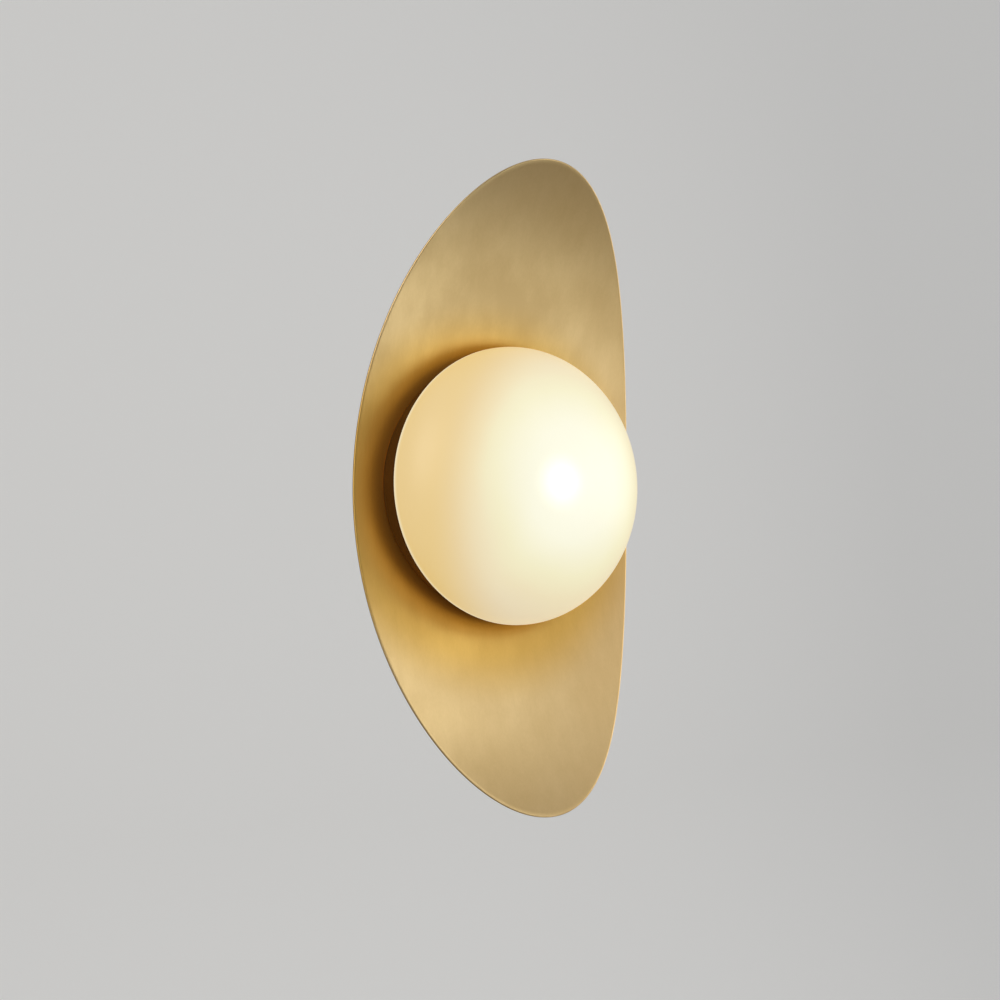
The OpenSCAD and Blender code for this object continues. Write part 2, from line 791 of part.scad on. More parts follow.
module holder_wire(side, pole) {
  from = holder_end(side);
  to = block_end(pole);
  reach = (from[1] - to[1]) / 2;
  wire([from, from - [0, reach, 0], to + [0, reach, 0], to]);
}

module live_wire() {
  color("sienna") holder_wire(-1, 0);
}

module neutral_wire() {
  color("royalblue") holder_wire(1, 1);
}

module earth_wire() {
  from = block_end(2);
  to = [earth_x, barrel_start + barrel_len, barrel_z];
  color("yellowgreen") wire([from, from + [0, 8, 0], to + [0, 4, 0], to]);
}

wall_bracket();
side_stud_left();
side_stud_right();
side_knob_left();
side_knob_right();
canopy();
rear_spacer();
reflector_plate();
front_spacer();
lamp_drum();
drum_floor();
rim_cushion();
clamp_screws();
clamp_washers();
clamp_nuts();
holder_strap();
strap_screws();
strap_nuts();
lampholder();
holder_contacts();
holder_screw();
bulb_base();
bulb_pins();
bulb_led_core();
bulb_cover();
glass_dome();
dome_springs();
spring_screws();
spring_nuts();
terminal_block();
terminal_tubes();
terminal_screws();
block_screw();
block_nut();
earth_lug();
earth_screw();
earth_washer();
earth_nut();
live_wire();
neutral_wire();
earth_wire();
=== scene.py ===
"""A wall sconce in satin brushed brass and lit opal glass, dressed round its fixed frame.

The sections follow the lamp as it is put together, from the bracket on the wall to the glass.
Every size is in metres. +Z is up, the wall is the plane y = 0 and the lamp looks along -Y.
"""

import math

import bpy
import numpy as np
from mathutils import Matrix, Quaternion, Vector


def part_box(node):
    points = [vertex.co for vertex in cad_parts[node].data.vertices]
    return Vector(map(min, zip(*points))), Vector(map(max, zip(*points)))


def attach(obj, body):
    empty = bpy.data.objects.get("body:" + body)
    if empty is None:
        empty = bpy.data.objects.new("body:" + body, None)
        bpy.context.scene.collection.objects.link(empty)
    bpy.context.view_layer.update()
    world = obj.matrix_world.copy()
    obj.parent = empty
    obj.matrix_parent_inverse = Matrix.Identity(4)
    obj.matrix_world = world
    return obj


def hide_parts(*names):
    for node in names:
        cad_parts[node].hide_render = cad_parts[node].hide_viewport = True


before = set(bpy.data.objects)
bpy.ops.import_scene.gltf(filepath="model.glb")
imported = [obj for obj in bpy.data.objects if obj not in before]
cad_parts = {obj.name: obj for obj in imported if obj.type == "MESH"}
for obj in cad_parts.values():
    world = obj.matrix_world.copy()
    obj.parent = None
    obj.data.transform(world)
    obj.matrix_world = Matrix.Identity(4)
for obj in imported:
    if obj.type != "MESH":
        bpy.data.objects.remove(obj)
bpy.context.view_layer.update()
scene = bpy.context.scene
scene.view_settings.view_transform = "Standard"

# Camera. The lamp was photographed from the left and slightly from below, from 0.6 m away,
# with the middle of the plate's front a little above the middle of the frame.
plate_low, plate_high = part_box("reflector_plate")
plate_sheet = 0.0016
camera_target = Vector((0, plate_high.y - plate_sheet, 0))
camera_azimuth = math.radians(-31.3)
camera_elevation = math.radians(-3.84)
camera_distance = 0.598
camera_roll = math.radians(0.51)
image_width = 1000
plate_middle_pixel = (500.8, 487.2)
focal_pixels = 1077

camera = bpy.data.objects.new("camera", bpy.data.cameras.new("camera"))
scene.collection.objects.link(camera)
scene.camera = camera
camera.data.sensor_width = 36
camera.data.lens = camera.data.sensor_width * focal_pixels / image_width
camera.data.shift_x = 0.5 - plate_middle_pixel[0] / image_width
camera.data.shift_y = plate_middle_pixel[1] / image_width - 0.5
towards_camera = Vector((
    math.sin(camera_azimuth) * math.cos(camera_elevation),
    -math.cos(camera_azimuth) * math.cos(camera_elevation),
    math.sin(camera_elevation),
))
camera.location = camera_target + camera_distance * towards_camera
camera.rotation_mode = "QUATERNION"
camera.rotation_quaternion = (
    (-towards_camera).to_track_quat("-Z", "Y") @ Quaternion((0, 0, 1), camera_roll)
)


# Studio. One sheet of pale paper runs forward under the lamp and up behind it, in a plain
# room. A cool soft light hangs high in front and one stands low, a warm one is level with the
# lamp, and two wide ones on the left and right light everything evenly.
def surface(name, points, close_u=False, close_v=False, flip=False):
    """Makes an object from points of shape (u, v, 3). Cell (i, j) of the grid is one four-sided
    face, and close_u or close_v joins the last row or column to the first. Points that round to
    the same micrometre become one, so that a row of radius nought closes to a pole: a face that
    keeps three corners there is a triangle, and one that keeps fewer is left out."""
    weld = 1e-6
    rows, columns = points.shape[:2]
    index = np.arange(rows * columns).reshape(rows, columns)
    if close_u:
        index = np.concatenate([index, index[:1]], axis=0)
    if close_v:
        index = np.concatenate([index, index[:, :1]], axis=1)
    faces = np.stack([index[:-1, :-1], index[1:, :-1], index[1:, 1:], index[:-1, 1:]], axis=-1)
    if flip:
        faces = faces[..., ::-1]
    places = points.reshape(-1, 3)
    _, first, merged = np.unique(
        np.round(places / weld), axis=0, return_index=True, return_inverse=True,
    )
    faces = merged.ravel()[faces.reshape(-1, 4)]
    apart = faces != np.roll(faces, -1, axis=1)
    corners = apart.sum(axis=1)
    squares = faces[corners == 4]
    triangles = faces[corners == 3][apart[corners == 3]].reshape(-1, 3)
    mesh = bpy.data.meshes.new(name)
    mesh.from_pydata(places[first], [], squares.tolist() + triangles.tolist())
    mesh.shade_smooth()
    piece = bpy.data.objects.new(name, mesh)
    scene.collection.objects.link(piece)
    return piece


def paper_sheet(width, front, back, floor, top, bend, bend_steps=24):
    """A floor, a quarter circle of radius bend and a wall, as one profile in Y and Z that is
    carried straight along X."""
    turn = np.linspace(0, math.pi / 2, bend_steps)
    profile_y = np.concatenate([[front], back - bend + bend * np.sin(turn), [back]])
    profile_z = np.concatenate([[floor], floor + bend - bend * np.cos(turn), [top]])
    points = np.zeros((len(profile_y), 2, 3))
    points[:, 0, 0] = -width / 2
    points[:, 1, 0] = width / 2
    points[..., 1] = profile_y[:, None]
    points[..., 2] = profile_z[:, None]
    return surface("paper_sheet", points, flip=True)


def new_material(name):
    """A node material with its tree and its shader."""
    material = bpy.data.materials.new(name)
    material.use_nodes = True
    return material, material.node_tree, material.node_tree.nodes["Principled BSDF"]


def node(tree, kind, inputs=None, **settings):
    """Adds a node. Each input is either a plain value or the socket that feeds it."""
    made = tree.nodes.new("ShaderNode" + kind)
    for key, value in settings.items():
        setattr(made, key, value)
    for key, value in (inputs or {}).items():
        if isinstance(value, bpy.types.NodeSocket):
            tree.links.new(value, made.inputs[key])
        else:
            made.inputs[key].default_value = value
    return made


def set_stops(ramp, stops):
    """Gives a colour ramp its stops, each a position and a colour."""
    elements = ramp.color_ramp.elements
    while len(elements) < len(stops):
        elements.new(0.5)
    for element, (position, colour) in zip(elements, stops):
        element.position = position
        element.color = (*colour, 1)


def pale_paper(name, lift):
    """Matt paper that glows by the strength lift where the camera sees it itself. The glow lights
    nothing, and no metal or glass reflects it."""
    material, tree, shader = new_material(name)
    seen = node(tree, "LightPath").outputs["Is Camera Ray"]
    glow = node(tree, "Math", {0: seen, 1: lift}, operation="MULTIPLY")
    tree.links.new(glow.outputs[0], shader.inputs["Emission Strength"])
    shader.inputs["Emission Color"].default_value = (1, 0.985, 0.96, 1)
    shader.inputs["Base Color"].default_value = (0.52, 0.51, 0.495, 1)
    shader.inputs["Roughness"].default_value = 0.9
    return material


def plain_room(name):
    """Grey light from all round, by the height of its direction alone: a mid grey floor, darker
    walls at the height of the lamp, and a paler, cooler ceiling."""
    room = bpy.data.worlds.new(name)
    room.use_nodes = True
    tree = room.node_tree
    direction = node(tree, "TexCoord").outputs["Generated"]
    height = node(tree, "SeparateXYZ", {"Vector": direction}).outputs["Z"]
    upward = node(tree, "MapRange", {"Value": height, "From Min": -1.0, "From Max": 1.0})
    walls = node(tree, "ValToRGB", {"Fac": upward.outputs["Result"]})
    set_stops(walls, [
        (0.0, (0.28, 0.29, 0.3)), (0.3, (0.29, 0.3, 0.31)), (0.48, (0.24, 0.25, 0.26)),
        (0.56, (0.25, 0.26, 0.27)), (0.75, (0.335, 0.35, 0.37)), (1.0, (0.35, 0.365, 0.38)),
    ])
    tree.links.new(walls.outputs["Color"], tree.nodes["Background"].inputs["Color"])
    return room


def soft_light(name, place, size, power, colour):
    """A square lamp, turned towards the middle of the sconce, that the camera doesn't see."""
    light = bpy.data.lights.new(name, "AREA")
    light.shape = "SQUARE"
    light.size = size
    light.energy = power
    light.color = colour
    lamp = bpy.data.objects.new(name, light)
    scene.collection.objects.link(lamp)
    lamp.location = place
    lamp.rotation_euler = (-Vector(place)).to_track_quat("-Z", "Y").to_euler()
    lamp.visible_camera = False


paper = paper_sheet(width=12, front=-5, back=1.7, floor=-1.4, top=4.2, bend=0.8)
paper.data.materials.append(pale_paper("paper", lift=0.345))
scene.world = plain_room("room")
soft_light("soft_front", place=(0.813, -1.744, 1.067), size=0.75,
           power=2.65, colour=(0.86, 0.95, 1))
soft_light("soft_low", place=(0.911, -1.713, -0.484), size=0.72,
           power=2.35, colour=(0.84, 0.94, 1))
soft_light("soft_level", place=(1.4, -1.2, 0.14), size=0.8,
           power=0.8, colour=(1, 0.8, 0.45))
soft_light("soft_right", place=(1.9, -0.5, 0.3), size=1.2,
           power=9, colour=(1, 0.99, 0.97))
soft_light("soft_left", place=(-1.9, -0.9, 0.8), size=1.4,
           power=14, colour=(1, 0.99, 0.97))


# Wall bracket. A bar of 2.5 mm steel with two ears bent up at its ends, zinc plated after
# it was punched. It carries the whole lamp on two wall screws.
def zinc_steel(name, thread_axis=None, pitch=0.0007):
    """Steel with a thin zinc coat: pale grey with cloudy patches of a few millimetres and fine
    dull specks. On a stud, a wave of straight flanks with the pitch of its thread lies in the
    bump. The wave node repeats every 2 pi / (20 scale)."""
    material, tree, shader = new_material(name)
    place = node(tree, "TexCoord").outputs["Object"]
    cloud = node(tree, "TexNoise", {"Vector": place, "Scale": 260.0, "Detail": 4.0,
                                    "Roughness": 0.6})
    speck = node(tree, "TexNoise", {"Vector": place, "Scale": 2600.0, "Detail": 2.0,
                                    "Roughness": 0.7})
    tone = node(tree, "ValToRGB", {"Fac": cloud.outputs["Fac"]})
    set_stops(tone, [(0.32, (0.44, 0.44, 0.42)), (0.68, (0.66, 0.67, 0.66))])
    rough = node(tree, "MapRange", {"Value": speck.outputs["Fac"], "To Min": 0.26, "To Max": 0.5})
    height = speck.outputs["Fac"]
    if thread_axis:
        wave_scale = 2 * math.pi / (20 * pitch)
        thread_over_specks = 6.0
        wave = node(tree, "TexWave", {"Vector": place, "Scale": wave_scale, "Distortion": 0.0},
                    wave_type="BANDS", bands_direction=thread_axis, wave_profile="TRI")
        height = node(tree, "Math", {0: wave.outputs["Fac"], 1: thread_over_specks, 2: height},
                      operation="MULTIPLY_ADD").outputs[0]
    relief = node(tree, "Bump", {"Height": height, "Strength": 0.25, "Distance": 0.00004})
    tree.links.new(tone.outputs["Color"], shader.inputs["Base Color"])
    tree.links.new(rough.outputs["Result"], shader.inputs["Roughness"])
    tree.links.new(relief.outputs["Normal"], shader.inputs["Normal"])
    shader.inputs["Metallic"].default_value = 1
    return material


def dress(material, *nodes):
    """Gives a finish to CAD nodes whose shape stays."""
    for name in nodes:
        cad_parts[name].data.materials.clear()
        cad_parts[name].data.materials.append(material)


plated_steel = zinc_steel("zinc_steel")
dress(plated_steel, "wall_bracket")


# Side screws. An M4 steel stud in each ear, with a brass head fixed on its end. The head
# is turned from bar and has a straight knurl between two bevels.
def satin_brass(name, dark, light, roughness, stroke, grain=1.0, patches=11.0, turned=False):
    """Lacquered brass. Its tone, gloss and bump share two noises that are drawn out along the
    strokes of the brush, one of fine hairs and one of broader bands: stroke gives how many times
    finer the hairs are along each axis, and grain how strong they are. A slow third noise drifts
    the tone over some centimetres. Turned brass takes its strokes from the distance to the
    lamp's axis."""
    material, tree, shader = new_material(name)
    place = node(tree, "TexCoord").outputs["Object"]
    along = place
    if turned:
        flat = node(tree, "Mapping", {"Vector": place, "Scale": (1, 0, 1)}).outputs["Vector"]
        radius = node(tree, "VectorMath", {0: flat}, operation="LENGTH").outputs["Value"]
        along = node(tree, "CombineXYZ", {"X": radius}).outputs["Vector"]
    drawn = node(tree, "Mapping", {"Vector": along, "Scale": stroke}).outputs["Vector"]
    hairs = node(tree, "TexNoise", {"Vector": drawn, "Scale": 1.0, "Detail": 3.0,
                                    "Roughness": 0.6})
    bands = node(tree, "TexNoise", {"Vector": drawn, "Scale": 0.13, "Detail": 3.0,
                                    "Roughness": 0.55})
    strokes = node(tree, "MixRGB", {"Fac": 0.55, "Color1": hairs.outputs["Fac"],
                                    "Color2": bands.outputs["Fac"]}).outputs["Color"]
    drift = node(tree, "TexNoise", {"Vector": place, "Scale": patches, "Detail": 3.0,
                                    "Roughness": 0.5})
    mix = node(tree, "Math", {0: strokes, 1: 0.4 * grain, 2: drift.outputs["Fac"]},
               operation="MULTIPLY_ADD").outputs[0]
    tone = node(tree, "ValToRGB", {"Fac": mix})
    set_stops(tone, [(0.4 + 0.12 * grain, dark), (0.62 + 0.28 * grain, light)])
    rough = node(tree, "MapRange", {"Value": mix, "From Min": 0.5, "From Max": 0.9,
                                    "To Min": roughness + 0.05, "To Max": roughness - 0.04})
    relief = node(tree, "Bump", {"Height": hairs.outputs["Fac"], "Strength": 0.12 * grain,
                                 "Distance": 0.00006})
    tree.links.new(tone.outputs["Color"], shader.inputs["Base Color"])
    tree.links.new(rough.outputs["Result"], shader.inputs["Roughness"])
    tree.links.new(relief.outputs["Normal"], shader.inputs["Normal"])
    shader.inputs["Metallic"].default_value = 1
    shader.inputs["Coat Weight"].default_value = 0.15
    shader.inputs["Coat Roughness"].default_value = 0.3
    return material


def knurled_head(side, word, band_rings=12, steps_a_tooth=8):
    """The profile (distance along the screw, radius) spun about the screw's axis. Inside the band
    between the bevels the radius dips by the knurl's depth times a half wave of the angle. A
    ring close to the edge of each end keeps the light even on the end's flat face."""
    low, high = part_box(f"side_knob_{word}")
    radius = (high.z - low.z) / 2
    axis_y = (low.y + high.y) / 2
    inner, outer = sorted((abs(low.x), abs(high.x)))
    length = outer - inner
    teeth = 36
    depth = 0.00028
    bevel = 0.0006
    margin = 0.16
    flat = radius - bevel
    close = 0.94 * flat
    band = np.linspace(margin, 1 - margin, band_rings) * length
    along = np.concatenate([[0, 0, 0, bevel], band, [length - bevel, length, length, length]])
    reach = np.concatenate([
        [0, close, flat, radius], np.full(band_rings, radius), [radius, flat, close, 0],
    ])
    ridged = np.concatenate([np.zeros(4), np.ones(band_rings), np.zeros(4)])
    angle = np.linspace(0, 2 * math.pi, teeth * steps_a_tooth, endpoint=False)
    dip = depth * (0.5 + 0.5 * np.cos(teeth * angle))
    r = reach[:, None] - ridged[:, None] * dip
    x = side * (inner + along[:, None]) + np.zeros_like(angle)
    return np.stack([x, axis_y + side * r * np.cos(angle), r * np.sin(angle)], axis=-1)


knurled_brass = satin_brass(
    "knurled_brass", dark=(0.4, 0.27, 0.1), light=(0.62, 0.46, 0.22), roughness=0.3,
    stroke=(2200, 300, 300), grain=0.8,
)
threaded_steel = zinc_steel("threaded_steel", thread_axis="X")
for side, word in ((-1, "left"), (1, "right")):
    head = surface(f"knurled_head_{word}", knurled_head(side, word), close_v=True, flip=True)
    head.data.materials.append(knurled_brass)
    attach(head, f"side_screw_{word}")
    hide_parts(f"side_knob_{word}")
    dress(threaded_steel, f"side_stud_{word}")

# Canopy. A cup of 1.2 mm brass, spun over a former so that its corner is round, with an
# open notch on each side for a side screw and a well for the lampholder.
canopy_sheet = 0.0012
canopy_corner = 0.003
well_radius = 0.0165
notch_half = 0.0023


def spun(radius, out, angle):
    """Carries a profile of (radius, distance from the wall) round the lamp's axis: X and Z are
    the radius times the cosine and the sine of the angle, and Y is minus the distance."""
    grids = np.broadcast_arrays(radius * np.cos(angle), -out, radius * np.sin(angle))
    return np.stack(grids, axis=-1)


def canopy_cup(notch_steps=25, plain_steps=96, corner_steps=9, wall_rows=9):
    """The cup's closed profile, spun. At the angles of a notch, the wall's edge lies at the
    screw's distance plus the half circle of the notch, and a second column right beside it has
    the plain edge, which stands on the wall."""
    low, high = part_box("canopy")
    knob_low, knob_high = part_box("side_knob_left")
    outer = high.x
    inner = outer - canopy_sheet
    front = -low.y
    back = front - canopy_sheet
    screw_out = -(knob_low.y + knob_high.y) / 2
    beside = 1e-5
    notch_angle = math.asin(notch_half / outer)
    inside = np.linspace(-notch_angle, notch_angle, notch_steps)
    outside = np.linspace(notch_angle + beside, math.pi - notch_angle - beside, plain_steps)
    angle = np.concatenate([inside, outside, inside + math.pi, outside + math.pi])
    in_notch = np.tile(np.repeat([1.0, 0.0], [notch_steps, plain_steps]), 2)
    across = np.clip(outer * np.sin(angle), -notch_half, notch_half)
    edge = in_notch * (screw_out + np.sqrt(notch_half ** 2 - across ** 2))

    turn = np.linspace(0, math.pi / 2, corner_steps)[:, None]
    face_rings = (0.022, 0.03, 0.04)
    face = np.array([well_radius, *face_rings, outer - canopy_corner])[:, None]
    share = np.linspace(0, 1, wall_rows)[1:, None]
    shoulder = front - canopy_corner
    bend = canopy_corner - canopy_sheet
    radius = np.concatenate([
        face,
        outer - canopy_corner + canopy_corner * np.sin(turn[1:]),
        np.full_like(share, outer),
        np.full_like(share, inner),
        inner - bend + bend * np.sin(turn[::-1]),
        face[::-1][1:],
    ])
    level = np.zeros_like(angle)
    out = np.concatenate([
        np.full_like(face, front) + level,
        shoulder + canopy_corner * np.cos(turn[1:]) + level,
        shoulder + share * (edge - shoulder),
        shoulder + share[::-1] * (edge - shoulder),
        shoulder + bend * np.cos(turn[::-1]) + level,
        np.full_like(face[1:], back) + level,
    ])
    return spun(radius, out, angle)


canopy = surface("canopy_cup", canopy_cup(), close_u=True, close_v=True)
canopy.data.materials.append(satin_brass(
    "canopy_brass", dark=(0.4, 0.27, 0.11), light=(0.6, 0.44, 0.22), roughness=0.36,
    stroke=(2600, 1, 1), turned=True,
))
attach(canopy, "lamp_body")
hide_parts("canopy")

# Spacers. Two rings turned from brass bar and milled to the plate's curve, one on each side
# of the plate, so that the flat canopy and the flat drum floor clamp a bent sheet.
turned_brass = satin_brass(
    "turned_brass", dark=(0.4, 0.27, 0.1), light=(0.62, 0.45, 0.21), roughness=0.3,
    stroke=(3400, 1, 1), turned=True,
)
dress(turned_brass, "rear_spacer", "front_spacer")

# Reflector plate. An oval of 1.6 mm brass sheet, cut out, rounded on its edge, bent about a
# level axis in front of it, brushed along its height and lacquered. Round the drum its front has
# a deeper gold painted into its tone: painted shade and painted warm bounce light.
plate_front = plate_sheet - plate_high.y
bend_radius = 0.292


def forward_of_wall(height, depth=0.0):
    """How far the bent sheet lies in front of the wall at a height and a depth behind its front
    face: the plate's middle plus the bend radius, less the root of (bend radius plus depth)
    squared minus height squared."""
    return plate_front + bend_radius - np.sqrt((bend_radius + depth) ** 2 - height ** 2)


def oval_plate(rows=80, turns=288, edge_steps=11, crowding=0.8):
    """The front face from the well to the outline, a half circle round the edge and the back face
    to the well again. Each ring is the round well and the oval outline mixed by a share, drawn
    in by the edge's roundness, and laid on the bent sheet at its depth. The shares are even
    steps to the power crowding, which sets the rings closer together at the outline."""
    angle = np.linspace(0, 2 * math.pi, turns, endpoint=False)
    lean = np.linspace(0, math.pi, edge_steps)
    edge_round = plate_sheet / 2
    face = np.full(rows - 1, edge_round)
    depth = np.concatenate([
        np.zeros(rows - 1), edge_round * (1 - np.cos(lean)), np.full(rows - 1, plate_sheet),
    ])[:, None]
    drawn_in = np.concatenate([face, edge_round * (1 - np.sin(lean)), face])[:, None]
    step = np.linspace(0, 1, rows)[:-1] ** crowding
    share = np.concatenate([step, np.ones(edge_steps), step[::-1]])[:, None]
    well = (1 - share) * well_radius
    x = well * np.cos(angle) + share * (plate_high.x - drawn_in) * np.cos(angle)
    z = well * np.sin(angle) + share * (plate_high.z - drawn_in) * np.sin(angle)
    return np.stack([x, -forward_of_wall(z, depth), z], axis=-1)


def paint_shade_round_drum(material, radius, fade):
    """Paints shade and warm bounce light into the plate's front: multiplies its tone by a deeper
    gold, within a radius of a point a centimetre to the left of the lamp's axis and a little below
    it. The gold is gone at the radius times fade."""
    tree = material.node_tree
    shader = tree.nodes["Principled BSDF"]
    coordinates = node(tree, "TexCoord").outputs
    flat = node(tree, "Mapping", {"Vector": coordinates["Object"], "Location": (0.01, 0, 0.008),
                                  "Scale": (1, 0, 1)}).outputs["Vector"]
    away = node(tree, "VectorMath", {0: flat}, operation="LENGTH").outputs["Value"]
    painted_shade_falloff = node(tree, "MapRange", {"Value": away, "From Min": radius, "From Max": radius * fade,
                                     "To Min": 1.0, "To Max": 0.0},
                  interpolation_type="SMOOTHSTEP").outputs["Result"]
    facing = node(tree, "SeparateXYZ", {"Vector": coordinates["Normal"]}).outputs["Y"]
    front = node(tree, "Math", {0: facing, 1: 0.0}, operation="LESS_THAN").outputs[0]
    share = node(tree, "Math", {0: painted_shade_falloff, 1: front}, operation="MULTIPLY").outputs[0]
    tone = shader.inputs["Base Color"].links[0].from_socket
    # Painted shade and warm bounce light: the front's tone turns a deeper gold here.
    painted_shade_tone = node(tree, "MixRGB", {"Fac": share, "Color1": tone, "Color2": (1.0, 0.87, 0.47, 1)},
                  blend_type="MULTIPLY")
    tree.links.new(painted_shade_tone.outputs["Color"], shader.inputs["Base Color"])


def stretch_gloss(material, mesh):
    """Draws the plate's reflections out square to its brush marks. The tangent comes from a UV
    layer that holds the place of each corner in X and Z, in shares of the plate's height."""
    across_brush = mesh.uv_layers.new(name="across_brush")
    corner_vertex = np.zeros(len(mesh.loops), dtype=np.int32)
    mesh.loops.foreach_get("vertex_index", corner_vertex)
    vertex_place = np.zeros(len(mesh.vertices) * 3)
    mesh.vertices.foreach_get("co", vertex_place)
    flat_place = vertex_place.reshape(-1, 3)[corner_vertex][:, [0, 2]]
    flat_place = flat_place / (plate_high.z - plate_low.z) + 0.5
    across_brush.data.foreach_set("uv", flat_place.ravel())
    tree = material.node_tree
    shader = tree.nodes["Principled BSDF"]
    way = node(tree, "Tangent", direction_type="UV_MAP", uv_map="across_brush")
    tree.links.new(way.outputs["Tangent"], shader.inputs["Tangent"])
    shader.inputs["Anisotropic"].default_value = 0.15


plate = surface("brushed_plate", oval_plate(), close_u=True, close_v=True)
plate_brass = satin_brass(
    "brushed_brass", dark=(0.74, 0.49, 0.205), light=(0.88, 0.605, 0.28), roughness=0.33,
    stroke=(1300, 1300, 20), patches=13.0,
)
# Painted shade and warm bounce light: a deeper gold on the plate's front round the drum.
paint_shade_round_drum(plate_brass, radius=0.08, fade=1.38)
stretch_gloss(plate_brass, plate.data)
plate.data.materials.append(plate_brass)
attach(plate, "lamp_body")
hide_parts("reflector_plate")

# Lamp drum. A ring rolled from brass strip, filed on its back edge to the plate's curve and
# rounded over at the front, with a flat brass disc soldered inside it.
drum_low, drum_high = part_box("lamp_drum")
drum_radius = drum_high.x
drum_sheet = 0.0012
drum_front = -drum_low.y
seat_gap = 0.0001


def drum_ring(turns=288, wall_rows=10, lip_steps=7):
    """The strip's closed section carried round a circle. The section runs up the inner face, over
    a half circle at the lip and down the outer face to the filed edge, whose distance from the
    wall follows the bent sheet at that angle's height."""
    angle = np.linspace(0, 2 * math.pi, turns, endpoint=False)
    share = np.linspace(0, 1, wall_rows)[:, None]
    lean = np.linspace(0, math.pi, lip_steps)[1:-1, None]
    inner_radius = drum_radius - drum_sheet
    lip_round = drum_sheet / 2
    lip = drum_front - lip_round
    outer_foot = forward_of_wall(drum_radius * np.sin(angle), -seat_gap)
    inner_foot = forward_of_wall(inner_radius * np.sin(angle), -seat_gap)
    radius = np.concatenate([
        np.full_like(share, inner_radius),
        drum_radius - lip_round - lip_round * np.cos(lean),
        np.full_like(share, drum_radius),
    ])
    out = np.concatenate([
        inner_foot + share * (lip - inner_foot),
        lip + lip_round * np.sin(lean) + np.zeros_like(angle),
        outer_foot + share[::-1] * (lip - outer_foot),
    ])
    return spun(radius, out, angle)


drum = surface("drum_ring", drum_ring(), close_u=True, close_v=True)
# Painted shade: the ring's brass is toned a near-black brown, standing for the shade under the
# dome's rim.
drum.data.materials.append(satin_brass(
    "drum_brass", dark=(0.12, 0.048, 0.009), light=(0.24, 0.1, 0.02), roughness=0.34,
    stroke=(60, 2600, 60),
))
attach(drum, "lamp_body")
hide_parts("lamp_drum")
floor_brass = satin_brass(
    "floor_brass", dark=(0.42, 0.29, 0.12), light=(0.62, 0.46, 0.24), roughness=0.34,
    stroke=(1800, 1, 1), turned=True,
)
dress(floor_brass, "drum_floor")


# Rim cushion. A ring of dark silicone on the drum's lip, which keeps the glass off the
# brass. Only its outer edge shows, as a thin dark line: its near-black tone also paints the
# shadow gap between the glass and the drum.
def rounded_ring(turns=288, corner=0.0003, corner_steps=4):
    """A rectangle with round corners at the cushion's place, spun about the lamp's axis."""
    low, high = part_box("rim_cushion")
    outer, inner = high.x - corner, high.x - drum_sheet + corner
    front, back = -low.y - corner, -high.y + corner
    lean = np.linspace(0, math.pi / 2, corner_steps) + np.arange(4)[:, None] * math.pi / 2
    radius = np.array([outer, inner, inner, outer])[:, None] + corner * np.cos(lean)
    out = np.array([front, front, back, back])[:, None] + corner * np.sin(lean)
    angle = np.linspace(0, 2 * math.pi, turns, endpoint=False)
    return spun(radius.reshape(-1, 1), out.reshape(-1, 1), angle)


def moulded(name, colour, roughness, mottle=0.12, grain=1800.0):
    """A moulded, fired or rubbery stuff: one colour that a fine and a slow noise darken by the
    share mottle, with a faint grain in the bump and the gloss."""
    material, tree, shader = new_material(name)
    place = node(tree, "TexCoord").outputs["Object"]
    fine = node(tree, "TexNoise", {"Vector": place, "Scale": grain, "Detail": 3.0,
                                   "Roughness": 0.6})
    slow = node(tree, "TexNoise", {"Vector": place, "Scale": 120.0, "Detail": 2.0,
                                   "Roughness": 0.5})
    both = node(tree, "Math", {0: fine.outputs["Fac"], 1: 0.5, 2: slow.outputs["Fac"]},
                operation="MULTIPLY_ADD").outputs[0]
    tone = node(tree, "ValToRGB", {"Fac": both})
    set_stops(tone, [(0.5, [part * (1 - mottle) for part in colour]), (0.95, colour)])
    rough = node(tree, "MapRange", {"Value": fine.outputs["Fac"], "To Min": roughness - 0.06,
                                    "To Max": roughness + 0.08})
    relief = node(tree, "Bump", {"Height": fine.outputs["Fac"], "Strength": 0.2,
                                 "Distance": 0.00002})
    tree.links.new(tone.outputs["Color"], shader.inputs["Base Color"])
    tree.links.new(rough.outputs["Result"], shader.inputs["Roughness"])
    tree.links.new(relief.outputs["Normal"], shader.inputs["Normal"])
    return material


cushion = surface("cushion_ring", rounded_ring(), close_u=True, close_v=True, flip=True)
# Painted shade: the cushion's near-black tone draws the shadow gap between glass and drum.
cushion.data.materials.append(moulded("dark_rubber", (0.05, 0.032, 0.02), roughness=0.65))
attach(cushion, "lamp_body")
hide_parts("rim_cushion")

# Clamp screws. Four M4 pan-head screws with washers and nuts hold the drum, both spacers,
# the plate and the canopy together.
screw_steel = zinc_steel("screw_steel")
dress(screw_steel, "clamp_screws")
dress(plated_steel, "clamp_washers", "clamp_nuts")

# Holder strap. Bent from plated steel strip, it hangs the lampholder in the well from two
# small screws in the drum's floor.
dress(plated_steel, "holder_strap", "strap_nuts")
dress(screw_steel, "strap_screws")

# Lampholder. Fired ceramic, held by one screw from behind, with a folded brass contact in
# each of its two slots.
dress(moulded("holder_ceramic", (0.84, 0.81, 0.73), roughness=0.42, mottle=0.1), "lampholder")
contact_brass = satin_brass(
    "terminal_brass", dark=(0.55, 0.4, 0.17), light=(0.74, 0.57, 0.28), roughness=0.28,
    stroke=(900, 900, 900), grain=0.5,
)
dress(contact_brass, "holder_contacts")
dress(screw_steel, "holder_screw")

# Dome springs. Three leaves of plated spring steel on the drum's floor, which press
# outwards on the neck of the glass, each under one small screw.
dress(zinc_steel("spring_steel"), "dome_springs")
dress(screw_steel, "spring_screws")
dress(plated_steel, "spring_nuts")

